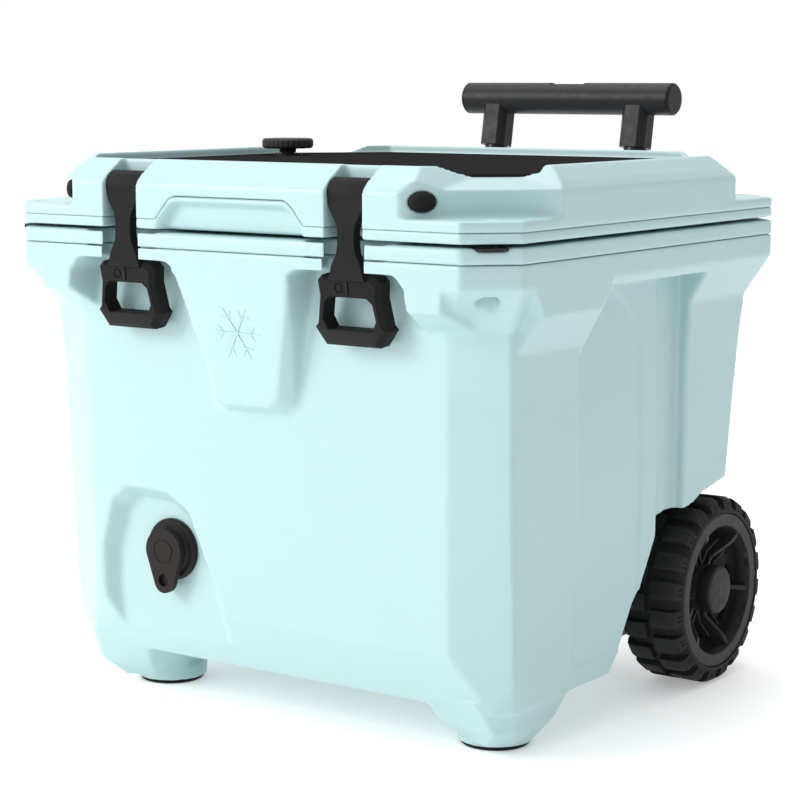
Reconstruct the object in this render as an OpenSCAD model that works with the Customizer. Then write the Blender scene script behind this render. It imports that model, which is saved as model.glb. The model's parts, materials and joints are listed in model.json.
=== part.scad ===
// Hard cooler on two wheels: hinged lid, two rubber latches, drain and a
// two-stage pull handle. Millimetres, X right, Y back, Z up, floor at z = 0.

/* [Outline] */
// Width over the rim
rim_w = 520; // [440:1:600]
// Depth over the rim
rim_d = 487.2; // [420:0.1:560]
// Corner chamfer of the rim
rim_c = 35; // [20:1:50]
// Height of the rim's top face
rim_top = 419.2; // [380:0.1:450]
// Thickness of the liner's flange
flange_t = 13; // [8:0.5:20]

/* [Lid] */
// Gap between rim and lid
lid_gap = 2.7; // [1:0.1:4]
// Height of the lid's pan
pan_h = 8.4; // [5:0.1:12]
// Height of the whole lid
lid_h = 56.6; // [40:0.1:70]
// Height of the corner shelves above the lid's underside
shelf_h = 17.6; // [12:0.1:25]
// Depth from the lid's lip to the mat
mat_t = 6.8; // [1:0.1:9]

/* [Latches] */
// Distance of each latch from the middle
latch_x = 116; // [80:1:150]
// Width of the latch channel
channel_w = 36.8; // [30:0.1:50]
// Width of the latch strap
strap_w = 35.6; // [28:0.1:48]
// Radius of the latch pin
latch_pin_r = 3; // [2:0.5:5]

/* [Wheels] */
// Radius over the tread
tyre_r = 85; // [70:1:110]
// Width of the tyre
tyre_w = 60; // [40:1:80]
// Outer side of the tyre, from the middle
wheel_x = 243; // [220:1:260]
// Wheel centre behind the lid's middle
wheel_y = 158.7; // [140:0.1:180]
// Radius of the axle
axle_r = 6; // [4:0.5:8]
// Tread lugs round one tyre
lug_n = 20; // [12:1:30]

/* [Handle] */
// Distance of each handle tube from the middle
post_x = 80; // [60:1:100]
// Lean of the handle tubes
lean = 10; // [5:0.5:15]
// Half length of the grip bar
grip_l = 118.5; // [90:1:140]
// Radius of the grip bar
grip_r = 15.5; // [12:0.5:20]
// Radius of the fixed tubes
tube_r = 15; // [12:0.5:18]

/* [Hidden] */
$fn = 64;
eps = 0.01;
y_mid = 28.51;
hw = rim_w / 2;
hd = rim_d / 2;
flange_z = rim_top - flange_t;
pan_z = rim_top + lid_gap;
cover_z = pan_z + pan_h + 0.1;
lid_top = pan_z + lid_h;
shelf_z = pan_z + shelf_h;
pivot_y = 248;
pivot_z = 430;
latch_y = -228;
latch_z = 457;
run = 0.05;
knob_x = -188;
knob_y = 75;
knob_z = 478.4;
mat_z = lid_top - mat_t;
drain_x = -107.5;
drain_z = 141;
lock_x = 231;
lock_y = -214.5;
lock_r = 5.5;
foot_x = 177;
foot_y = -116;
drain_y = -190;
button_l = 38;
plug_w = 10.8;
plug_h = 7.7;

// ---------- helpers ----------
module at() translate([0, -y_mid, 0]) children();
module both() { children(); mirror([1, 0, 0]) children(); }
module alongx(l) rotate([0, 90, 0]) translate([0, 0, -l / 2]) children();
module alongy(l) rotate([90, 0, 0]) translate([0, 0, -l / 2]) children();
module box(lo, hi) translate(lo) cube([hi[0] - lo[0], hi[1] - lo[1], hi[2] - lo[2]]);
// a YZ outline drawn out along X, from x0 to x1
module yz(x0, x1, pts)
    translate([x0, 0, 0]) rotate([90, 0, 90]) linear_extrude(x1 - x0) polygon(pts);
// an XZ outline drawn out along Y, from y0 to y1
module xz(y0, y1, pts)
    translate([0, y1, 0]) rotate([90, 0, 0]) linear_extrude(y1 - y0) polygon(pts);
// rings of points, each anticlockwise seen from the end it grows towards
module loft(rings) {
    n = len(rings[0]);
    m = len(rings);
    side = [for (i = [0:m - 2]) for (j = [0:n - 1])
        let (a = i * n + j, b = i * n + (j + 1) % n)
        each [[a, b + n, b], [a, a + n, b + n]]];
    first = [for (j = [0:n - 1]) j];
    last = [for (j = [n - 1:-1:0]) (m - 1) * n + j];
    polyhedron([for (r = rings) for (p = r) p], concat([first], side, [last]));
}
// rectangle with cut corners
function rect(z, x, y0, y1, c = 30) = [
    [-x + c, y0, z], [x - c, y0, z], [x, y0 + c, z], [x, y1 - c, z],
    [x - c, y1, z], [-x + c, y1, z], [-x, y1 - c, z], [-x, y0 + c, z]];
// eight-sided ring: front half width, front y, side x, front corner y, rear corner y,
// rear half width, rear y
function ring(z, hf, yf, xs, yc, yk, hr, yr) = [
    [-hf, yf, z], [hf, yf, z], [xs, yc, z], [xs, yk, z],
    [hr, yr, z], [-hr, yr, z], [-xs, yk, z], [-xs, yc, z]];
function rim_pts(g) = [
    [-hw + rim_c + 0.414 * g, -hd + g], [hw - rim_c - 0.414 * g, -hd + g],
    [hw - g, -hd + rim_c + 0.414 * g], [hw - g, hd - rim_c - 0.414 * g],
    [hw - rim_c - 0.414 * g, hd - g], [-hw + rim_c + 0.414 * g, hd - g],
    [-hw + g, hd - rim_c - 0.414 * g], [-hw + g, -hd + rim_c + 0.414 * g]];
module rim_slab(z0, z1, g = 0) translate([0, 0, z0]) linear_extrude(z1 - z0) polygon(rim_pts(g));
module round_rect(x, y0, y1, r, h) {
    hull() for (sx = [-1, 1]) for (y = [y0 + r, y1 - r])
        translate([sx * (x - r), y, 0]) cylinder(r = r, h = h, $fn = 32);
}
module tilted() translate([0, 219, 150]) rotate([-lean, 0, 0]) children();
function tube_y(z) = 219 + (z - 150) * tan(lean);

// ---------- body forms ----------
module tub_form() {
    loft([
        ring(43, 216, -180, 228.5, -167, 128, 190, 150),
        ring(66, 202, -191, 232.8, -174, 140, 195, 165),
        ring(91, 188, -202, 234, -177, 158, 200, 179),
        ring(135, 187, -203.4, 234.6, -179.3, 171, 206, 188),
        ring(200, 188, -205.5, 235.4, -182.8, 180, 210, 198),
        ring(300, 190, -208.5, 236.2, -186.6, 193.5, 212, 212),
        ring(352, 191.5, -212, 239, -193, 200, 214, 221),
        ring(387.4, hw - rim_c, -hd, hw, -hd + rim_c, hd - rim_c, hw - rim_c, hd),
        ring(flange_z - 0.1, hw - rim_c, -hd, hw, -hd + rim_c, hd - rim_c, hw - rim_c, hd)]);
}
// lugs that hang down from the rim beside the latches
module front_tooth()
    loft([
        [[166, -205, 346], [213, -205, 352], [213, -205, 400], [166, -205, 400]],
        [[174, -hd, 369], [207.6, -hd, 369], [209, -hd, 400], [174, -hd, 400]]]);
module side_teeth() {
    loft([
        [[234, -184, 400], [234, -184, 372], [234, -180, 329], [234, -80, 327], [234, -58, 362],
            [234, -58, 400]],
        [[hw, -188, 400], [hw, -188, 382], [hw, -180, 364], [hw, -91, 363.4], [hw, -75, 379.6],
            [hw, -75, 400]]]);
    loft([
        [[234, 100, 400], [234, 104, 372], [234, 108, 337], [234, 196, 333], [234, 204, 360],
            [234, 206, 400]],
        [[hw, 80, 400], [hw, 80, 379.6], [hw, 89, 363.4], [hw, 190, 366], [hw, 200, 376],
            [hw, 204, 400]]]);
}
module shield_form()
    loft([
        [[-33, -190, 268], [33, -190, 268], [44, -190, 276], [70, -190, 396],
            [-70, -190, 396], [-44, -190, 276]],
        [[-32, -209, 272], [32, -209, 272], [43, -209, 280], [68, -212, 396],
            [-68, -212, 396], [-43, -209, 280]],
        [[-22, -220.3, 279], [22, -220.3, 279], [32.5, -221.9, 287], [61.5, -hd, 396],
            [-61.5, -hd, 396], [-32.5, -221.9, 287]]]);
module leg_form() {
    loft([
        [[154, -100, 8], [160, -132, 8], [168, -148, 8], [196, -158, 8],
            [212, -140, 8], [210, -104, 8], [192, -84, 8], [166, -84, 8]],
        [[146, -96, 24], [148, -140, 24], [158, -166, 24], [212, -172.5, 24],
            [221, -154, 24], [221.5, -94, 24], [208, -76, 24], [160, -76, 24]],
        [[130, -96, 52], [132, -150, 52], [146, -184, 52], [205, -188, 52],
            [229, -168, 52], [229, -78, 52], [215, -60, 52], [150, -60, 52]]]);
    translate([foot_x, foot_y, 2.8]) cylinder(r = 32, h = 14);
}
// the slanted sill and round arch over each wheel
module arch_cut()
    yz(174, 280, [[-15.5, 30], [-15.5, 48], [-2, 69], [50, 153], [56, 161], [66, 166.5],
        [80, 168.5], [104, 168.5], [118, 171], [135, 178], [171, 184], [260, 192],
        [260, 30]]);
module latch_cuts(z0, z1) {
    box([latch_x - 37.6, -hd + 2, z0], [latch_x + 37.6, -213, z1]);
    box([latch_x - channel_w / 2, -hd - 5, z0], [latch_x + channel_w / 2, -230, z1]);
}
module pocket_cut()
    loft([
        [[59, -212.5, 345], [172, -212.5, 345], [166, -212.5, 385], [155, -212.5, 396],
            [68, -212.5, 396], [60, -212.5, 392]],
        [[44, -262, 290], [203, -262, 345], [177, -262, 385], [168, -262, 396],
            [70, -262, 396], [62, -262, 392]]]);
// slot along the corner's diagonal edge, wider than the shackle
module padlock_slot(z0, z1)
    translate([lock_x, lock_y, z0]) rotate([0, 0, 45]) {
        box([-3, -6, 0], [3, 6, z1 - z0]);
        for (s = [-1, 1]) translate([s * 3, 0, 0]) cylinder(r = 6, h = z1 - z0, $fn = 32);
    }
module drain_recess()
    loft([
        [[-156, drain_y, 172], [-168, drain_y, 136], [-169, drain_y, 104], [-167, drain_y, 80],
            [-162, drain_y, 45], [-38, drain_y, 45], [-52, drain_y, 92], [-90, drain_y, 172],
            [-108, drain_y, 182], [-141, drain_y, 183]],
        [[-167, -206, 182], [-181, -206, 139], [-182, -206, 104], [-179, -206, 80],
            [-172, -206, 45], [-18, -206, 45], [-39, -206, 92], [-78, -206, 181],
            [-103, -206, 195], [-148, -206, 196]]]);
// fades out into the side wall at its lower end
module hand_hold()
    loft([
        [[235.2, -86, 215], [235.2, 50, 215], [232, 50, 379.6], [232, -62, 379.6],
            [232.6, -86, 350]],
        [[266, -86, 215], [266, 50, 215], [266, 50, 379.6], [266, -73, 379.6],
            [266, -92, 363]]]);
// shallow panel in the side wall, curving forward at its top
module side_panel()
    loft([for (p = [[62, 231.2, 21], [216, 234.3, 21], [310, 232.1, 21], [340, 231.4, 14],
        [362, 230.9, -5], [379.5, 230.5, -40]])
        [[p[1], -86, p[0]], [250, -86, p[0]], [250, p[2], p[0]], [p[1], p[2], p[0]]]]);
// opening in the shell's top that the liner drops through
function throat_pts(g) = [
    [-176 + g, -178 + g], [176 - g, -178 + g], [200 - g, -154 + g], [200 - g, 146 - g],
    [176 - g, 170 - g], [-176 + g, 170 - g], [-200 + g, 146 - g], [-200 + g, -154 + g]];
module foam_space(g) {
    loft([
        rect(60 + g, 196 - g, -158 + g, -12 - g),
        rect(80 + g, 203 - g, -178 + g, 2 - g),
        rect(205, 212 - g, -186 + g, 70 - g)]);
    loft([
        rect(204 + g, 213 - g, -186 + g, 180 - g),
        rect(flange_z - 8 - g, 216 - g, -198 + g, 200 - g)]);
    loft([
        rect(118 + g, 160 - g, -60, 160 - g),
        rect(206, 160 - g, -60, 172 - g)]);
}
module liner_space(g) {
    loft([
        rect(112, 176 - g, -145 + g, -36 - g, 24),
        rect(120, 182 - g, -153 + g, -24 - g, 24),
        rect(226, 186 - g, -162 + g, 44 - g, 24)]);
    loft([
        rect(225 + g, 186 - g, -162 + g, 148 - g, 24),
        rect(rim_top + eps, 194 - g, -172 + g, 160 - g, 24)]);
}

// ---------- body ----------
module outer_shell() color([0.78, 0.91, 0.91]) at() difference() {
    union() {
        difference() {
            union() {
                tub_form();
                both() leg_form();
                both() front_tooth();
            }
            both() arch_cut();
            both() pocket_cut();
            both() hand_hold();
            both() side_panel();
        }
        both() side_teeth();
        shield_form();
    }
    foam_space(0);
    translate([0, 0, 380]) linear_extrude(40) polygon(throat_pts(0));
    both() latch_cuts(395.9, 430);
    both() padlock_slot(350, 430);
    drain_recess();
    translate([drain_x, -170, drain_z]) alongy(80) cylinder(r = 17.1, h = 80);
    // groove behind the hand hold
    both() box([226, 50, 140], [270, 97, 379.6]);
    // room for the axle under the rear of the tub
    box([-174, 122, 20], [174, 260, 108]);
    // seats of the feet
    both() translate([foot_x, foot_y, 0]) {
        cylinder(r = 5.2, h = 24);
        cylinder(r = 29.1, h = 5.2);
    }
    // snowflake pressed into the shield
    translate([0, -232.5, 340]) rotate([90 + 11.3, 0, 0]) for (a = [0:60:120]) rotate([0, 0, a])
        box([-19, -1.6, -1.2], [19, 1.6, 9]);
}
module inner_liner() color([0.85, 0.93, 0.93]) at() difference() {
    union() {
        difference() {
            union() {
                rim_slab(flange_z, rim_top);
                loft([rect(108, 180, -149, -32, 24), rect(116, 186, -157, -20, 24),
                    rect(226, 190, -166, 48, 24)]);
                loft([rect(221, 190, -166, 152, 24), rect(flange_z + 1, 198, -176, 164, 24)]);
            }
            liner_space(0);
        }
        // flat pad behind the drain
        translate([drain_x, -155.06, drain_z]) alongy(4.08) cylinder(r = 23, h = 4.08);
    }
    both() latch_cuts(390, 430);
    both() padlock_slot(390, 430);
    translate([drain_x, -150, drain_z]) alongy(80) cylinder(r = 17.1, h = 80);
    // seats of the lock plates
    both() translate([lock_x, lock_y, rim_top - 2.4]) rotate([0, 0, 45])
        box([-13, -17.4, 0], [13, 8.2, 5]);
    both() box([134, hd - 3, flange_z - 1], [206, hd + 5, rim_top + 1]);
}
module foam_core() color([0.93, 0.88, 0.68]) at() difference() {
    union() {
        foam_space(0.3);
        translate([0, 0, 390]) linear_extrude(flange_z - 390.4) polygon(throat_pts(0.4));
    }
    loft([rect(107.6, 180.4, -149.4, -31.6, 24), rect(115.6, 186.4, -157.4, -19.6, 24),
        rect(226, 190.4, -166.4, 48.4, 24)]);
    loft([rect(220.6, 190.4, -166.4, 152.4, 24), rect(flange_z + 1, 198.4, -176.4, 164.4, 24)]);
    translate([drain_x, -160, drain_z]) alongy(90) cylinder(r = 19, h = 90);
}
module front_feet() color([0.08, 0.08, 0.08]) at() both() translate([foot_x, foot_y, 0]) {
    rotate_extrude() polygon([[0, 0], [27.5, 0], [29, 1.4], [29, 5], [0, 5]]);
    cylinder(r = 4.9, h = 20);
}
module lock_plates() color([0.1, 0.1, 0.1]) at() both()
    translate([lock_x, lock_y, rim_top - 2.2]) difference() {
        rotate([0, 0, 45]) box([-12.6, -16.9, 0], [12.6, 7.7, 2.1]);
        translate([0, 0, -1]) cylinder(r = lock_r, h = 5);
    }

// ---------- lid ----------
// sloped dip in the lip above a corner's diagonal wall, d inside the wall
function dip_ring(d) = let (w = 47.6 - 1.259 * d, z = 460.8 + 0.411 * d, e = (520 - z) / 0.33) [
    [-d, w, z], [-d, -w, z], [-d, -w - e, 520], [-d, w + e, 520]];
// everything outside the diagonal wall, above the corner shelf
module corner_cut(yc, s) translate([hw, yc, 0]) rotate([0, 0, s * 45]) {
    translate([0, -200, shelf_z]) cube([200, 400, 100]);
    translate([0, s * 47.5, 0]) loft([dip_ring(-1), dip_ring(37.8)]);
}
module lid_form()
    intersection() {
        rim_slab(pan_z, lid_top);
        yz(-hw, hw, [[-hd, pan_z], [-hd, 459], [-236, 467], [-219, lid_top],
            [211, lid_top], [239, 446], [hd, 440], [hd, pan_z]]);
        xz(-hd, hd, [[-hw, pan_z], [-hw, 460], [-254, 467], [-241, lid_top],
            [241, lid_top], [254, 467], [hw, 460], [hw, pan_z]]);
    }
module finger_recess()
    loft([
        [[-70, -234, 418], [70, -234, 418], [68, -234, 428], [60, -234, 438],
            [55, -234, 441.5], [-55, -234, 441.5], [-60, -234, 438], [-68, -234, 428]],
        [[-80, -246, 418], [80, -246, 418], [76, -246, 431], [65.5, -246, 443],
            [58.5, -246, 447.4], [-58.5, -246, 447.4], [-65.5, -246, 443], [-76, -246, 431]]]);
// the pan's front panel round the finger recess, g larger all round
module recess_panel(g)
    xz(-hd - g * 10, -229 + g, [[-78.5 - g, 428], [78.5 + g, 428], [75.5 + g, 432],
        [68.5 + g, 440.5 + g], [62.5 + g, 447 + g], [57, 449.6 + g], [-57, 449.6 + g],
        [-62.5 - g, 447 + g], [-68.5 - g, 440.5 + g], [-75.5 - g, 432]]);
module lid_channel()
    box([latch_x - channel_w / 2, -hd - 5, 410], [latch_x + channel_w / 2, -215.4, 490]);
function mat_pts(g) = [
    [-166.5 + g, -214 + g], [166.5 - g, -214 + g], [234 - g, -146.5 + g], [234 - g, 132 - g],
    [160 - g, 206 - g], [-160 + g, 206 - g], [-234 + g, 132 - g], [-234 + g, -146.5 + g]];
module lid_cover() color([0.8, 0.93, 0.93]) at() difference() {
    lid_form();
    box([-300, -300, pan_z - 1], [300, 300, cover_z]);
    both() corner_cut(-152, -1);
    both() corner_cut(137, 1);
    recess_panel(0.1);
    both() lid_channel();
    both() padlock_slot(400, 450);
    translate([0, 0, mat_z - 2.4]) linear_extrude(20) polygon(mat_pts(0));
    translate([0, 0, cover_z - 1]) round_rect(212, -204, 200, 20, 29.5);
    both() plug_seat(0.15);
    both() translate([latch_x, latch_y, latch_z]) alongx(70) cylinder(r = latch_pin_r, h = 70);
    translate([knob_x, knob_y, 440]) cylinder(r = 9.4, h = 50);
    both() box([134, hd - 3, cover_z - 1], [206, hd + 5, 452]);
}
module lid_base() color([0.8, 0.93, 0.93]) at() difference() {
    union() {
        rim_slab(pan_z, pan_z + pan_h);
        recess_panel(0);
        loft([rect(399, 172, -149, 140, 20), rect(404, 178, -155, 145, 20),
            rect(pan_z + 1, 184, -160, 150, 20)]);
    }
    translate([0, 0, 403.5]) round_rect(172, -148, 138, 16, 60);
    finger_recess();
    both() lid_channel();
    both() padlock_slot(400, 450);
    both() box([134, hd - 3, pan_z - 1], [206, hd + 5, 452]);
}
module lid_foam() color([0.93, 0.88, 0.68]) at() {
    translate([0, 0, 404]) round_rect(171.6, -147.6, 137.6, 16, cover_z - 403.8);
    difference() {
        translate([0, 0, cover_z + 0.2]) round_rect(211.6, -203.6, 199.6, 20, 27.4);
        translate([knob_x, knob_y, 440]) cylinder(r = 9.8, h = 40);
    }
}
module lid_gasket() color([0.25, 0.27, 0.28]) at() translate([0, 0, rim_top + 0.5])
    linear_extrude(lid_gap - 0.5) difference() {
        polygon([[-206, -192], [206, -192], [216, -182], [216, 170], [206, 180],
            [-206, 180], [-216, 170], [-216, -182]]);
        polygon([[-198, -184], [198, -184], [208, -176], [208, 164], [198, 172],
            [-198, 172], [-208, 164], [-208, -176]]);
    }
module non_slip_mat() color([0.06, 0.06, 0.06]) at() difference() {
    translate([0, 0, mat_z - 2.4]) linear_extrude(2.4) polygon(mat_pts(0.5));
    translate([knob_x, knob_y, 440]) cylinder(r = 14.2, h = 50);
}
// the plug's own frame: on a front corner wall, its Z pointing out
module plug_place()
    translate([181.6, -230, 452]) rotate([0, 0, 45]) rotate([90, 0, 0]) children();
module plug_seat(g) plug_place() scale([plug_w + g, plug_h + g, 1]) translate([0, 0, -6])
    cylinder(r = 1, h = 12);
// oval ring at height z, k times the plug's size
function oval(k, z) = [for (a = [0:15:345]) [k * plug_w * cos(a), k * plug_h * sin(a), z]];
module corner_plugs() color([0.06, 0.06, 0.06]) at() both() plug_place()
    loft([oval(1, -5.6), oval(1, 1), oval(0.94, 2.2), oval(0.8, 3.4), oval(0.55, 4.4),
        oval(0.25, 4.9)]);

// ---------- hinges ----------
module lid_leaves() color([0.12, 0.12, 0.12]) at() both() {
    difference() {
        union() {
            box([146, hd - 2.6, pan_z + 0.4], [194, hd + 0.9, 441]);
            translate([170, pivot_y, pivot_z]) alongx(23) cylinder(r = 6, h = 23);
            box([158.5, hd - 1, pivot_z - 5], [181.5, pivot_y, pivot_z + 5]);
        }
        translate([170, pivot_y, pivot_z]) alongx(90) cylinder(r = 2.5 + run, h = 90);
        for (x = [151.5, 188.5]) translate([x, pivot_y, pivot_z]) alongx(13.8)
            cylinder(r = 6.5, h = 13.8);
    }
}
module body_leaves() color([0.12, 0.12, 0.12]) at() both() {
    difference() {
        union() {
            box([146, hd + 0.3, 392], [194, hd + 3.4, rim_top + 1]);
            for (x = [151.5, 188.5]) {
                translate([x, pivot_y, pivot_z]) alongx(13) cylinder(r = 6, h = 13);
                yz(x - 6.5, x + 6.5, [[hd + 0.3, 412], [pivot_y + 6, 420],
                    [pivot_y + 6, pivot_z], [hd + 1.4, pivot_z - 4], [hd + 1.4, 419]]);
            }
        }
        translate([170, pivot_y, pivot_z]) alongx(90) cylinder(r = 2.5, h = 90);
        box([100, hd - 4, pan_z - 0.6], [240, hd + 1.3, 460]);
    }
}
module hinge_pins() color([0.6, 0.6, 0.62]) at() both()
    translate([170, pivot_y, pivot_z]) alongx(52) cylinder(r = 2.5, h = 52);

// ---------- latches ----------
// half outline, mirrored to close it
function both_halves(h) = concat(
    [for (i = [len(h) - 1:-1:0]) h[i]], [for (p = h) [-p[0], p[1]]]);
// half outline of the pull loop about its middle
loop_half = [[26.3, 28], [31, 23.5], [29.6, 11], [33.4, -11], [36.4, -14.5], [26.4, -28]];
// half widths of the strap down to the loop
strap_half = [[strap_w / 2, 0], [17, -8], [15.4, -13], [11.8, -19], [9.2, -24], [8, -31],
    [8, -39], [9.2, -47], [12, -52], [14.4, -57], [15.5, -62], [18, -68]];
module latch(x) at() translate([x, 0, latch_z]) difference() {
    union() {
        translate([0, latch_y, 0]) alongx(strap_w) cylinder(r = 12, h = strap_w);
        translate([0, latch_y - 3.4, 0]) rotate([90, 0, 0]) linear_extrude(8.4)
            polygon(both_halves(strap_half));
        // loop, leaning in towards its lower end
        translate([0, -224, -63]) rotate([6.5, 0, 0]) translate([0, 224, 63]) difference() {
            union() {
                translate([0, -224, -91]) rotate([90, 0, 0]) {
                    linear_extrude(11.4) polygon(both_halves(loop_half));
                    translate([0, 0, 11.4]) linear_extrude(4, scale = 0.87)
                        polygon(both_halves(loop_half));
                }
                // middle rib
                yz(-1, 1, [[-234, -64], [-240.4, -66], [-240.4, -77], [-234, -79]]);
            }
            translate([0, -200, 0]) rotate([90, 0, 0]) linear_extrude(50) polygon([
                [-18, -79.4], [18, -79.4], [23.4, -84], [25.8, -97.5], [21.4, -106],
                [-21.4, -106], [-25.8, -97.5], [-23.4, -84]]);
            // hexagon pressed beside the rib
            translate([-8, -238.4, -72]) rotate([90, 0, 0]) difference() {
                cylinder(r = 4.6, h = 3, $fn = 6);
                translate([0, 0, -1]) cylinder(r = 3.2, h = 5, $fn = 6);
            }
        }
    }
    translate([0, latch_y, 0]) alongx(60) cylinder(r = latch_pin_r + run, h = 60);
}
module latch_left() color([0.07, 0.07, 0.07]) latch(-latch_x);
module latch_right() color([0.07, 0.07, 0.07]) latch(latch_x);
module latch_pins() color([0.6, 0.6, 0.62]) at() both()
    translate([latch_x, latch_y, latch_z]) alongx(62) cylinder(r = latch_pin_r, h = 62);

// ---------- knob on the lid ----------
module knob_socket() color([0.08, 0.08, 0.08]) at() translate([knob_x, knob_y, 0])
    difference() {
        union() {
            translate([0, 0, 444]) cylinder(r = 9.3, h = 29);
            translate([0, 0, mat_z - 2.3]) cylinder(r = 13.8, h = 4.2);
        }
        translate([0, 0, 440]) cylinder(r = 6 + run, h = 60);
    }
module knob() color([0.16, 0.16, 0.16]) at() translate([knob_x, knob_y, 0]) difference() {
    union() {
        translate([0, 0, 446]) cylinder(r = 6, h = 35);
        translate([0, 0, 474.4]) cylinder(r = 8, h = 5);
        translate([0, 0, knob_z]) rotate_extrude()
            polygon([[0, 0], [22.5, 0], [24.6, 2], [24.6, 7.6], [22.8, 9.4], [0, 9.4]]);
    }
    for (a = [0:12:359]) rotate([0, 0, a]) translate([25.6, 0, knob_z - 1])
        cylinder(r = 1.5, h = 12, $fn = 16);
    rotate([0, 0, 200]) box([21, -2.5, knob_z - 1], [30, 2.5, knob_z + 5]);
}

// ---------- drain ----------
module drain_flange() color([0.16, 0.12, 0.11]) at() translate([drain_x, drain_y, drain_z])
    rotate([90, 0, 0]) difference() {
        union() {
            rotate_extrude() polygon([[0, 0.3], [27, 0.3], [27, 3.4], [24.6, 5.6], [21, 5.6],
                [19.5, 8.6], [0, 8.6]]);
            translate([0, 0, -50]) cylinder(r = 16, h = 51);
        }
        translate([0, 0, -60]) cylinder(r = 9, h = 66);
        translate([0, 0, -10]) cylinder(r = 5 + run, h = 30);
    }
module drain_seal() color([0.05, 0.05, 0.05]) at() translate([drain_x, -151.2, drain_z])
    rotate([-90, 0, 0]) rotate_extrude() translate([18.7, 0]) square([4.4, 3.6], center = true);
module drain_nut() color([0.12, 0.12, 0.12]) at() translate([drain_x, -149.1, drain_z])
    rotate([-90, 0, 0]) difference() {
        cylinder(r = 22.5, h = 8, $fn = 6);
        translate([0, 0, -1]) cylinder(r = 16.2, h = 12);
    }
module drain_lever() color([0.17, 0.13, 0.12]) at() translate([drain_x, drain_y, drain_z])
    rotate([90, 0, 0]) difference() {
        union() {
            translate([0, 0, 2]) cylinder(r = 5, h = 12);
            translate([0, 0, 9.2]) linear_extrude(6) polygon(drop_pts());
        }
        translate([0, -25.5, 11.5]) cylinder(r = 5.6, h = 5);
        translate([0, 0, 14.6]) difference() {
            cylinder(r = 10.6, h = 3);
            translate([0, 0, -1]) cylinder(r = 9.6, h = 5);
        }
    }
function drop_pts() = concat(
    [for (a = [-12:8:192]) [19.5 * cos(a), 19.5 * sin(a)]],
    [for (a = [192:12:348]) [10.4 * cos(a), -26.5 + 10.4 * sin(a)]]);

// ---------- wheels ----------
module wheel_place(s)
    at() translate([0, wheel_y, tyre_r]) scale([s, 1, 1]) rotate([0, 90, 0]) children();
module pair_of_posts(z) tilted() for (s = [-1, 1]) translate([s * post_x, 0, z]) children();
module tyre_shape() {
    x0 = wheel_x - tyre_w;
    lug_l = tyre_w * 0.44;
    rotate_extrude($fn = 96) polygon([[61, x0 + 6], [72, x0], [76, x0 + 4], [79.5, x0 + 14],
        [79.5, wheel_x - 14], [76, wheel_x - 4], [73.5, wheel_x - 0.6], [70.5, wheel_x],
        [70.5, wheel_x - 9], [61, wheel_x - 14]]);
    for (i = [0:lug_n - 1], q = [0, 1]) rotate([0, 0, (i + q / 2) * 360 / lug_n])
        translate([0, 0, q == 0 ? x0 + 1 : wheel_x - 1]) mirror([0, 0, q]) difference() {
            intersection() {
                rotate_extrude($fn = 96) polygon([[71.5, 1], [76, 0], [82.5, 2.4], [tyre_r, 7],
                    [tyre_r, lug_l], [78, lug_l], [71.5, 12]]);
                linear_extrude(100) polygon([[60, -5.4], [90, -8.4], [90, 8.4], [60, 5.4]]);
            }
            for (y = [-2.8, 1.6]) translate([74, y, -1]) cube([7, 1.2, 2.6]);
        }
}
// one spoke, seen from the side as radius and depth
module blade(w, pts) rotate([90, 0, 0]) linear_extrude(w, center = true) polygon(pts);
module rim_shape() {
    x1 = wheel_x - 1;
    difference() {
        union() {
            rotate_extrude($fn = 96) polygon([[56, x1 - 50], [60.6, x1 - 50], [60.6, x1 - 11],
                [63, x1 - 9], [70, x1 - 5], [70, x1 - 0.8], [69.4, x1], [59.6, x1],
                [58.8, x1 - 0.8], [56, x1 - 26]]);
            // web and hub
            rotate_extrude() polygon([[0, x1 - 54], [14, x1 - 54], [16, x1 - 34],
                [57, x1 - 30], [57, x1 - 24], [40, x1 - 28], [21.4, x1 - 29],
                [21.4, x1 - 13.2], [0, x1 - 13.2]]);
            for (i = [0:5]) rotate([0, 0, i * 60 + 21]) {
                blade(4, [[21, x1 - 29], [58.5, x1 - 26], [58.5, x1 - 2.5], [50, x1 - 5],
                    [31, x1 - 20], [21, x1 - 20]]);
                for (y = [-10, 10]) translate([0, y, 0])
                    blade(1.6, [[18.6, x1 - 29], [50, x1 - 26], [46, x1 - 14], [32, x1 - 21],
                        [18.6, x1 - 21]]);
            }
        }
        translate([0, 0, x1 - 60]) cylinder(r = axle_r + run, h = 80);
    }
}
module cap_shape() rotate_extrude() polygon([[0, 236], [7, 236], [7, 229], [21, 229],
    [21.8, 229.8], [21.8, 240], [20, 241.6], [14, 242], [0, 242]]);
module tyre_left() color([0.07, 0.07, 0.07]) wheel_place(-1) tyre_shape();
module tyre_right() color([0.07, 0.07, 0.07]) wheel_place(1) tyre_shape();
module wheel_left() color([0.13, 0.13, 0.13]) wheel_place(-1) rim_shape();
module wheel_right() color([0.13, 0.13, 0.13]) wheel_place(1) rim_shape();
module hub_cap_left() color([0.11, 0.11, 0.11]) wheel_place(-1) cap_shape();
module hub_cap_right() color([0.11, 0.11, 0.11]) wheel_place(1) cap_shape();
module axle() color([0.65, 0.65, 0.67]) at() translate([0, wheel_y, tyre_r]) alongx(470)
    cylinder(r = axle_r, h = 470);
module axle_brackets() color([0.12, 0.12, 0.12]) at() for (x = [-150, 150]) difference() {
    yz(x - 14, x + 14, [[128, 107.6], [139, 76], [146, 68], [170, 68], [177, 78], [181, 107.6]]);
    translate([x, wheel_y, tyre_r]) alongx(60) cylinder(r = axle_r, h = 60);
}

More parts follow.
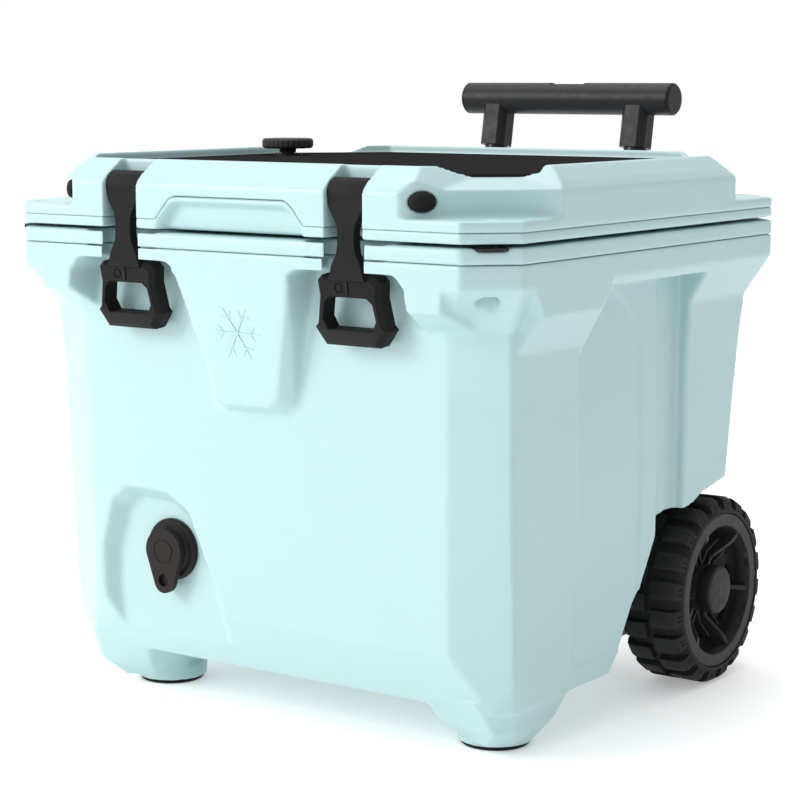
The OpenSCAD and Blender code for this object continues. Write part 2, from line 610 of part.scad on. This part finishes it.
// ---------- handle ----------
module outer_tubes() color([0.5, 0.51, 0.53]) at() pair_of_posts(-28) difference() {
        cylinder(r = tube_r, h = 286);
        translate([0, 0, 3]) cylinder(r = tube_r - 1.6, h = 290);
    }
module tube_collars() color([0.08, 0.08, 0.08]) at() pair_of_posts(240) difference() {
        union() {
            translate([0, 0, 18.4]) cylinder(r = 17, h = 4);
            translate([0, 0, 2]) cylinder(r = 17, h = 20);
        }
        translate([0, 0, -1]) cylinder(r = tube_r, h = 19);
        translate([0, 0, 10]) cylinder(r = tube_r - 1.6, h = 30);
    }
module middle_tubes() color([0.55, 0.56, 0.58]) at() pair_of_posts(-22) difference() {
        union() {
            cylinder(r = 13, h = 286);
            translate([0, 0, 285]) cylinder(r = 14.6, h = 6);
        }
        translate([0, 0, -1]) cylinder(r = 11.4, h = 300);
    }
module inner_tubes() color([0.08, 0.08, 0.08]) at() pair_of_posts(-16) difference() {
        cylinder(r = 11, h = 368);
        translate([0, 0, 2]) cylinder(r = 9.4, h = 380);
    }
function grip_y() = tube_y(525);
module grip_bar() color([0.07, 0.07, 0.07]) at() translate([0, grip_y(), 525]) difference() {
    alongx(2 * grip_l - 8) cylinder(r = grip_r, h = 2 * grip_l - 8);
    alongx(2 * grip_l) cylinder(r = grip_r - 3.5, h = 2 * grip_l);
    box([-button_l / 2 - 0.5, -6.5, 3], [button_l / 2 + 0.5, 6.5, 20]);
}
module grip_ends() color([0.07, 0.07, 0.07]) at() translate([0, grip_y(), 525]) both()
    translate([grip_l - 4, 0, 0]) rotate([0, 90, 0]) rotate_extrude()
        polygon([[0, -10], [grip_r - 3.6, -10], [grip_r - 3.6, 0.1], [grip_r, 0.1], [grip_r, 2],
            [grip_r - 2, 4], [0, 4]]);
module grip_sleeves() color([0.09, 0.09, 0.09]) at() difference() {
    pair_of_posts(333) intersection() {
        cylinder(r = 15.5, h = 46);
        box([-14, -13.5, 0], [14, 13.5, 46]);
    }
    pair_of_posts(300) cylinder(r = 11.05, h = 60);
    translate([0, grip_y(), 525]) alongx(300) cylinder(r = grip_r + 0.05, h = 300);
}
module release_button() color([0.12, 0.12, 0.12]) at() translate([0, grip_y(), 525]) intersection() {
    box([-button_l / 2, -6, 4.4], [button_l / 2, 6, 14.4]);
    union() {
        alongx(60) cylinder(r = grip_r - 0.9, h = 60);
        box([-10, -5, 4], [10, 5, 8]);
    }
}
module button_seat() color([0.15, 0.15, 0.15]) at() translate([0, grip_y(), 525]) intersection() {
    alongx(70) cylinder(r = grip_r - 3.6, h = 70);
    box([-35, -14, -14], [35, 14, 0.8]);
}
// y of the shell's rear wall
function wall_y(z) = lookup(z, [[135, 188], [200, 198], [300, 212], [352, 221]]);
module tube_bracket(z0, z1) difference() {
    yz(-104, 104, [[wall_y(z0) + 0.3, z0], [tube_y(z0) + 12, z0], [tube_y(z0) + 19, z0 + 6],
        [tube_y(z1) + 19, z1 - 6], [tube_y(z1) + 12, z1], [wall_y(z1) + 0.3, z1]]);
    pair_of_posts(-60) cylinder(r = tube_r + 0.05, h = 500);
    box([-52, tube_y(z0) - 8, z0 - 5], [52, 400, z1 + 5]);
}
module upper_bracket() color([0.1, 0.1, 0.1]) at() tube_bracket(305, 343);
module lower_bracket() color([0.1, 0.1, 0.1]) at() tube_bracket(142, 178);
module bracket_screws() color([0.6, 0.6, 0.62]) at() for (z = [160, 324]) for (x = [-36, 36])
    translate([x, tube_y(z) - 7.5, z]) rotate([-90, 0, 0])
    rotate_extrude() polygon([[0, -2.6], [6, -2.6], [6, 0], [4.4, 2.2], [1.6, 2.2],
        [1.6, 0.6], [0, 0.6]]);

outer_shell();
inner_liner();
foam_core();
front_feet();
lock_plates();
lid_cover();
lid_base();
lid_foam();
lid_gasket();
non_slip_mat();
corner_plugs();
lid_leaves();
body_leaves();
hinge_pins();
latch_left();
latch_right();
latch_pins();
knob_socket();
knob();
drain_flange();
drain_seal();
drain_nut();
drain_lever();
tyre_left();
tyre_right();
wheel_left();
wheel_right();
hub_cap_left();
hub_cap_right();
axle();
axle_brackets();
outer_tubes();
tube_collars();
middle_tubes();
inner_tubes();
grip_bar();
grip_ends();
grip_sleeves();
release_button();
button_seat();
upper_bracket();
lower_bracket();
bracket_screws();
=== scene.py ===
"""Cooler on wheels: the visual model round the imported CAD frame.

The four rotationally moulded shells are remade as soft skins. Every other piece keeps
its CAD mesh, with rounded edges and a procedural material. Lengths are in metres.
"""
import json
import math

import bpy
from mathutils import Matrix, Vector


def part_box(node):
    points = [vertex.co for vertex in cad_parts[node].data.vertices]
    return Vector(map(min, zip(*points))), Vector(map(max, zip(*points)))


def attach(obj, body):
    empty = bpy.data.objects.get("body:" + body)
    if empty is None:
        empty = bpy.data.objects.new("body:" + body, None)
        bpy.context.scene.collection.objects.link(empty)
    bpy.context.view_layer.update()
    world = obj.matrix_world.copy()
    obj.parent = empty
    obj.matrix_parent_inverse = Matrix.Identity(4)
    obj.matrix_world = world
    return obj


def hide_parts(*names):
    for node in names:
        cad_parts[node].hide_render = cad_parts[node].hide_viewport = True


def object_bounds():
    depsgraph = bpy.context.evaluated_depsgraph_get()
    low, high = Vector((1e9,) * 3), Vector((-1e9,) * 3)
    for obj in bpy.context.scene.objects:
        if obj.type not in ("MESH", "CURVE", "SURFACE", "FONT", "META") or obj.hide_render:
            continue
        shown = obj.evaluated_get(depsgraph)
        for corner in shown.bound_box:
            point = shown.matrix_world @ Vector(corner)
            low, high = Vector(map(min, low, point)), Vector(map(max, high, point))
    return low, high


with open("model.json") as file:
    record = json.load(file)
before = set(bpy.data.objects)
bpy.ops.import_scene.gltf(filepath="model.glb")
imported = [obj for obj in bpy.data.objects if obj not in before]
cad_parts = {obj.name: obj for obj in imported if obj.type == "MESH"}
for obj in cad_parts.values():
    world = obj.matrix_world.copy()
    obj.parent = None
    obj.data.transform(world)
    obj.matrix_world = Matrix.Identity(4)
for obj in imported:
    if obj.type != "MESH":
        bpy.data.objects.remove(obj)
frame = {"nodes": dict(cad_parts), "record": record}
cad_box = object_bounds()
nodes = frame["nodes"]
MM = 0.001


# ---------------------------------------------------------------- materials
def new_material(name):
    """A node material: itself, its tree, its Principled shader, object coordinates."""
    mat = bpy.data.materials.new(name)
    mat.use_nodes = True
    tree = mat.node_tree
    shader = tree.nodes["Principled BSDF"]
    coords = tree.nodes.new("ShaderNodeTexCoord")
    return mat, tree, shader, coords.outputs["Object"]


def noise(tree, coords, scale, detail=3.0, rough=0.55):
    """A noise texture, scale in cells per metre."""
    n = tree.nodes.new("ShaderNodeTexNoise")
    n.inputs["Scale"].default_value = scale
    n.inputs["Detail"].default_value = detail
    n.inputs["Roughness"].default_value = rough
    tree.links.new(coords, n.inputs["Vector"])
    return n.outputs["Fac"]


def remap(tree, value, low, high, start=0.3, end=0.7):
    """value from start..end, mapped to low..high; noise lies mostly in 0.3..0.7."""
    m = tree.nodes.new("ShaderNodeMapRange")
    m.inputs["From Min"].default_value = start
    m.inputs["From Max"].default_value = end
    m.inputs["To Min"].default_value = low
    m.inputs["To Max"].default_value = high
    tree.links.new(value, m.inputs["Value"])
    return m.outputs["Result"]


def mix_colours(tree, factor, a, b):
    """The colour between a and b; each is a tuple or a socket."""
    m = tree.nodes.new("ShaderNodeMix")
    m.data_type = "RGBA"
    tree.links.new(factor, m.inputs["Factor"])
    for socket, colour in ((m.inputs["A"], a), (m.inputs["B"], b)):
        if isinstance(colour, tuple):
            socket.default_value = (*colour, 1.0)
        else:
            tree.links.new(colour, socket)
    return m.outputs["Result"]


def bump(tree, shader, height, depth, strength, under=None):
    """Raises the surface by height times depth, in metres, on top of under."""
    b = tree.nodes.new("ShaderNodeBump")
    b.inputs["Distance"].default_value = depth
    b.inputs["Strength"].default_value = strength
    tree.links.new(height, b.inputs["Height"])
    if under is not None:
        tree.links.new(under, b.inputs["Normal"])
    tree.links.new(b.outputs["Normal"], shader.inputs["Normal"])
    return b.outputs["Normal"]


def tint(colour, k):
    """The colour k times as bright."""
    return tuple(min(1.0, c * k) for c in colour)


def mottled(tree, pattern, colour, dark, light):
    """The colour between dark and light times as bright, as the pattern goes."""
    return mix_colours(tree, pattern, tint(colour, dark), tint(colour, light))


WORN_FROM, WORN_TO = 0.53, 0.62    # pointiness where rubbing starts and is complete


def edge_wear(tree, colour, worn):
    """Lightens convex edges, as rubbing does."""
    geometry = tree.nodes.new("ShaderNodeNewGeometry")
    factor = remap(tree, geometry.outputs["Pointiness"], 0.0, 1.0, WORN_FROM, WORN_TO)
    return mix_colours(tree, factor, colour, worn)


def uneven_gloss(tree, shader, pattern, gloss, less, more):
    """Roughness round gloss, from less below it to more above it."""
    rough = remap(tree, pattern, gloss - less, gloss + more)
    tree.links.new(rough, shader.inputs["Roughness"])


PEEL = 0.05 * MM                   # depth of the orange peel on moulded plastic
PLASTIC_IOR = 1.5


def moulded_plastic(name, colour, gloss):
    """Moulded plastic: slight colour drift, uneven gloss and a faint orange peel."""
    mat, tree, shader, coords = new_material(name)
    base = mottled(tree, noise(tree, coords, 9.0), colour, 0.985, 1.015)
    base = edge_wear(tree, base, tint(colour, 1.06))
    tree.links.new(base, shader.inputs["Base Color"])
    uneven_gloss(tree, shader, noise(tree, coords, 60.0, 4.0), gloss, 0.03, 0.03)
    coarse = bump(tree, shader, noise(tree, coords, 420.0, 2.0), PEEL, 0.5)
    bump(tree, shader, noise(tree, coords, 2600.0, 2.0), PEEL * 0.4, 0.4, coarse)
    shader.inputs["IOR"].default_value = PLASTIC_IOR
    return mat


def grained(name, colour, gloss, grain, depth, shine):
    """Matt rubber or coarse plastic with a fine grain and greyer, rubbed edges."""
    mat, tree, shader, coords = new_material(name)
    dust = noise(tree, coords, 35.0, 5.0, 0.65)
    base = mottled(tree, dust, colour, 0.8, 1.3)
    base = edge_wear(tree, base, tint(colour, 1.9))
    tree.links.new(base, shader.inputs["Base Color"])
    uneven_gloss(tree, shader, noise(tree, coords, 140.0, 4.0), gloss, 0.06, 0.08)
    bump(tree, shader, noise(tree, coords, grain, 3.0, 0.6), depth * MM, 0.6)
    shader.inputs["Specular IOR Level"].default_value = shine
    return mat


def metal(name, colour, gloss, streak):
    """Satin metal with drawn streaks; streak is 1 along them and larger across."""
    mat, tree, shader, coords = new_material(name)
    stretch = tree.nodes.new("ShaderNodeMapping")
    stretch.inputs["Scale"].default_value = streak
    tree.links.new(coords, stretch.inputs["Vector"])
    lines = noise(tree, stretch.outputs["Vector"], 300.0, 4.0)
    base = mottled(tree, lines, colour, 0.92, 1.05)
    tree.links.new(base, shader.inputs["Base Color"])
    uneven_gloss(tree, shader, lines, gloss, 0.05, 0.08)
    bump(tree, shader, lines, 0.02 * MM, 0.3)
    shader.inputs["Metallic"].default_value = 1.0
    return mat


def foam_material():
    """Insulating foam: yellowish, with open cells about 1.4 mm across."""
    mat, tree, shader, coords = new_material("insulation_foam")
    cells = tree.nodes.new("ShaderNodeTexVoronoi")
    cells.inputs["Scale"].default_value = 700.0
    tree.links.new(coords, cells.inputs["Vector"])
    wall = cells.outputs["Distance"]
    base = mix_colours(tree, wall, (0.62, 0.5, 0.26), (0.8, 0.7, 0.42))
    tree.links.new(base, shader.inputs["Base Color"])
    shader.inputs["Roughness"].default_value = 0.9
    bump(tree, shader, wall, 0.4 * MM, 0.8)
    return mat


SHELL_COLOUR = (0.41, 0.582, 0.588)
SHELL = moulded_plastic("shell_plastic", SHELL_COLOUR, 0.36)
LINER = moulded_plastic("liner_plastic", SHELL_COLOUR, 0.42)

# colour, roughness, grain in cells per metre, grain depth in mm, specular level
LATCH_RUBBER = grained("latch_rubber", (0.0115, 0.0115, 0.012), 0.58, 900.0, 0.12, 0.09)
MAT_FOAM = grained("mat_foam", (0.011, 0.011, 0.0115), 0.95, 1500.0, 0.35, 0.0)
TYRE_RUBBER = grained("tyre_rubber", (0.014, 0.014, 0.0145), 0.66, 1100.0, 0.2, 0.2)
WHEEL = grained("wheel_plastic", (0.016, 0.016, 0.0165), 0.5, 1300.0, 0.08, 0.18)
GRIP = grained("grip_plastic", (0.012, 0.012, 0.013), 0.4, 1700.0, 0.1, 0.2)
BLACK = grained("black_plastic", (0.014, 0.014, 0.015), 0.45, 1200.0, 0.08, 0.18)
KNOB = grained("knob_plastic", (0.024, 0.024, 0.025), 0.5, 1400.0, 0.1, 0.2)
DRAIN = grained("drain_plastic", (0.013, 0.0098, 0.009), 0.42, 1200.0, 0.08, 0.16)

ALONG_X = (1.0, 8.0, 8.0)          # streaks along the axle and pins
ALONG_Z = (8.0, 8.0, 1.0)          # streaks along the handle's tubes
STEEL = metal("satin_steel", (0.6, 0.6, 0.61), 0.32, ALONG_X)
TUBE = metal("anodised_tube", (0.42, 0.43, 0.45), 0.34, ALONG_Z)
INNER_TUBE = metal("black_tube", (0.03, 0.03, 0.032), 0.3, ALONG_Z)
FOAM = foam_material()

FINISH = {
    "foam_core": FOAM, "lid_foam": FOAM, "front_feet": LATCH_RUBBER,
    "lock_plates": BLACK, "lid_gasket": LATCH_RUBBER, "non_slip_mat": MAT_FOAM,
    "corner_plugs": LATCH_RUBBER, "lid_leaves": BLACK, "body_leaves": BLACK,
    "hinge_pins": STEEL, "latch_left": LATCH_RUBBER, "latch_right": LATCH_RUBBER,
    "latch_pins": STEEL, "knob_socket": BLACK, "knob": KNOB,
    "drain_flange": DRAIN, "drain_seal": LATCH_RUBBER, "drain_nut": BLACK,
    "drain_lever": DRAIN, "tyre_left": TYRE_RUBBER, "tyre_right": TYRE_RUBBER,
    "wheel_left": WHEEL, "wheel_right": WHEEL, "hub_cap_left": WHEEL,
    "hub_cap_right": WHEEL, "axle": STEEL, "axle_brackets": BLACK,
    "outer_tubes": TUBE, "tube_collars": BLACK, "middle_tubes": TUBE,
    "inner_tubes": INNER_TUBE, "grip_bar": GRIP, "grip_ends": GRIP,
    "grip_sleeves": GRIP, "release_button": BLACK, "button_seat": BLACK,
    "upper_bracket": BLACK, "lower_bracket": BLACK, "bracket_screws": STEEL,
}
for name, mat in FINISH.items():
    for slot in nodes[name].material_slots:
        slot.material = mat


# ---------------------------------------------------------------- shapes
SAME_POINT = 0.01 * MM             # corners closer than this are one corner
HARD_EDGE = math.radians(35.0)     # a sharper fold than this is rounded


def soft_edges(name, width):
    """Rounds a CAD node's hard edges with modifiers, without touching its mesh."""
    obj = nodes[name]
    weld = obj.modifiers.new("weld", "WELD")
    weld.merge_threshold = SAME_POINT
    bevel = obj.modifiers.new("bevel", "BEVEL")
    bevel.width = width
    bevel.segments = 2
    bevel.limit_method = "ANGLE"
    bevel.angle_limit = HARD_EDGE
    bevel.use_clamp_overlap = True


def body_of(node):
    """The moving body that the record puts the node in."""
    for body, members in frame["record"]["behaviour"]["bodies"].items():
        if node in members:
            return body


FACES_KEPT = 0.3                   # share of a skin's faces left after thinning


def moulded(node, mat, voxel, rounds):
    """A CAD shell as a soft rotational moulding: its mesh remade in small cells, its
    edges rounded by smoothing and the flats thinned out again."""
    source = nodes[node]
    obj = bpy.data.objects.new(node + "_skin", source.data.copy())
    bpy.context.collection.objects.link(obj)
    remesh = obj.modifiers.new("cells", "REMESH")
    remesh.mode = "VOXEL"
    remesh.voxel_size = voxel
    smooth = obj.modifiers.new("round", "SMOOTH")
    smooth.factor = 0.5
    smooth.iterations = rounds
    thin = obj.modifiers.new("thin", "DECIMATE")
    thin.ratio = FACES_KEPT
    graph = bpy.context.evaluated_depsgraph_get()
    mesh = bpy.data.meshes.new_from_object(obj.evaluated_get(graph))
    obj.modifiers.clear()
    obj.data = mesh
    mesh.name = node + "_skin"
    mesh.materials.clear()
    mesh.materials.append(mat)
    mesh.shade_smooth()
    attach(obj, body_of(node))
    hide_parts(node)


moulded("outer_shell", SHELL, voxel=2.0 * MM, rounds=8)
moulded("inner_liner", LINER, voxel=2.2 * MM, rounds=4)
moulded("lid_cover", SHELL, voxel=1.6 * MM, rounds=7)
moulded("lid_base", SHELL, voxel=1.8 * MM, rounds=4)

ROUNDING = {                       # node: width of its rounded edges in mm
    "latch_left": 1.1, "latch_right": 1.1, "wheel_left": 0.5, "wheel_right": 0.5,
    "tyre_left": 0.6, "tyre_right": 0.6, "hub_cap_left": 0.5, "hub_cap_right": 0.5,
    "drain_lever": 0.6, "drain_flange": 0.5, "knob": 0.4, "knob_socket": 0.4,
    "corner_plugs": 0.5, "lid_leaves": 0.5, "body_leaves": 0.5,
    "upper_bracket": 1.5, "lower_bracket": 1.5, "grip_ends": 0.7,
    "grip_sleeves": 0.9, "tube_collars": 0.6, "front_feet": 0.5,
    "lock_plates": 0.3, "axle_brackets": 1.2, "release_button": 0.4,
}
for name, width in ROUNDING.items():
    soft_edges(name, width * MM)

# The snowflake on the shield: all lengths but the last two in mm, drawn flat and then
# leaned back onto the shield's face.
ARMS = 6
ARM_LENGTH = 24.0
TWIG_ROOT = 14.0                   # from the middle to where the two twigs branch off
TWIG_LENGTH = 8.0
TWIG_ANGLE = math.radians(52)
BAR_HALF_WIDTH = 0.9
BAR_SECTION = ((-2.0, 1.0), (0.55, 0.7))    # height over the face, share of the width
SHIELD_LEAN = math.radians(11.26)
SHIELD_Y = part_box("outer_shell")[0][1] + 11.3 * MM
SHIELD_Z = 340 * MM


def snowflake_bars():
    """Root, direction and length of each bar of the snowflake."""
    bars = []
    for i in range(ARMS):
        turn = math.radians(360 / ARMS * i)
        bars.append(((0.0, 0.0), turn, ARM_LENGTH))
        root = (TWIG_ROOT * math.cos(turn), TWIG_ROOT * math.sin(turn))
        for side in (-1, 1):
            bars.append((root, turn + side * TWIG_ANGLE, TWIG_LENGTH))
    return bars


def shield_mark():
    """A plain snowflake of thin raised bars on the shield's sloped face."""
    verts, faces = [], []
    for root, turn, length in snowflake_bars():
        along = Vector((math.cos(turn), math.sin(turn)))
        across = Vector((-along.y, along.x)) * BAR_HALF_WIDTH
        base = Vector(root)
        n = len(verts)
        for out, spread in BAR_SECTION:
            for end, side in ((0, -1), (1, -1), (1, 1), (0, 1)):
                q = base + along * length * end + across * side * spread
                verts.append((q.x * MM, -out * MM, q.y * MM))
        faces += [[n + 3, n + 2, n + 1, n], [n + 4, n + 5, n + 6, n + 7]]
        for k in range(4):
            after = (k + 1) % 4
            faces.append([n + k, n + after, n + 4 + after, n + 4 + k])
    mesh = bpy.data.meshes.new("shield_mark")
    mesh.from_pydata(verts, [], faces)
    tilt = Matrix.Rotation(SHIELD_LEAN, 4, "X")
    mesh.transform(Matrix.Translation((0, SHIELD_Y, SHIELD_Z)) @ tilt)
    mesh.materials.append(SHELL)
    obj = bpy.data.objects.new("shield_mark", mesh)
    bpy.context.collection.objects.link(obj)
    bevel = obj.modifiers.new("bevel", "BEVEL")
    bevel.width = 0.2 * MM
    bevel.segments = 2
    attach(obj, "body")


shield_mark()

# ---------------------------------------------------------------- camera and light
low, high = (Vector(c) for c in cad_box)
middle = (low + high) / 2

# The camera was fitted to the picture in the drawing's own coordinates, where the
# front of the cooler is at FRONT_Y.
CAMERA_X, CAMERA_Y, CAMERA_Z = 1.1475, -1.6203, 0.5455
FRONT_Y = -0.2436
CAMERA_DOWN, CAMERA_ROUND = 8.245, 35.36    # degrees below level, degrees to the left
CAMERA_LENS = 100.1                         # focal length in mm
FARTHEST = 60                               # the floor's far corners are still drawn

camera = bpy.data.objects.new("camera", bpy.data.cameras.new("camera"))
bpy.context.collection.objects.link(camera)
camera.location = (CAMERA_X, CAMERA_Y + low.y - FRONT_Y, CAMERA_Z)
camera.rotation_euler = (math.radians(90 - CAMERA_DOWN), 0, math.radians(CAMERA_ROUND))
camera.data.lens = CAMERA_LENS
camera.data.clip_end = FARTHEST
bpy.context.scene.camera = camera


def area_light(name, place, target, side, power):
    """A square white light, side in metres and power in watts, turned to target."""
    lamp = bpy.data.lights.new(name, "AREA")
    lamp.shape = "RECTANGLE"
    lamp.size = lamp.size_y = side
    lamp.energy = power
    obj = bpy.data.objects.new(name, lamp)
    bpy.context.collection.objects.link(obj)
    obj.location = place
    aim = Vector(target) - Vector(place)
    obj.rotation_euler = aim.to_track_quat("-Z", "Y").to_euler()


area_light("key", place=(-1.9, -2.7, 1.7), target=middle, side=1.6, power=64)
area_light("overhead", place=(-0.3, 0.1, 2.6), target=middle, side=2.0, power=28)

SKY_LIT, SKY_SHADED = 1.0, 0.5     # the world's strength on the left and on the right
SHADE_FROM, SHADE_TO = 0.0, 0.6    # how far to the right the change starts and ends


def studio_world():
    """White all round, but dimmer to the right, which leaves that side in shade."""
    world = bpy.data.worlds.new("studio")
    bpy.context.scene.world = world
    world.use_nodes = True
    tree = world.node_tree
    coords = tree.nodes.new("ShaderNodeTexCoord")
    split = tree.nodes.new("ShaderNodeSeparateXYZ")
    tree.links.new(coords.outputs["Generated"], split.inputs["Vector"])
    to_right = split.outputs["X"]
    glow = remap(tree, to_right, SKY_LIT, SKY_SHADED, SHADE_FROM, SHADE_TO)
    background = tree.nodes["Background"]
    tree.links.new(glow, background.inputs["Strength"])
    background.inputs["Color"].default_value = (1.0, 1.0, 1.0, 1.0)


studio_world()
bpy.context.scene.view_settings.view_transform = "Standard"

FLOOR_HALF = 14.0                  # half the width of the sheet
FLOOR_GLOW = 0.3                   # lifts the sheet to the backdrop's white


def studio_floor():
    """A wide pale sheet under the object."""
    mesh = bpy.data.meshes.new("floor")
    signs = ((-1, -1), (1, -1), (1, 1), (-1, 1))
    corners = [(x * FLOOR_HALF, y * FLOOR_HALF, 0) for x, y in signs]
    mesh.from_pydata(corners, [], [(0, 1, 2, 3)])
    floor = bpy.data.objects.new("floor", mesh)
    bpy.context.collection.objects.link(floor)
    mat, tree, shader, coords = new_material("floor_paper")
    grain = noise(tree, coords, 40.0)
    paper = mix_colours(tree, grain, (0.94, 0.94, 0.94), (0.96, 0.96, 0.96))
    tree.links.new(paper, shader.inputs["Base Color"])
    shader.inputs["Roughness"].default_value = 0.65
    shader.inputs["Emission Color"].default_value = (1.0, 1.0, 1.0, 1.0)
    shader.inputs["Emission Strength"].default_value = FLOOR_GLOW
    mesh.materials.append(mat)


studio_floor()
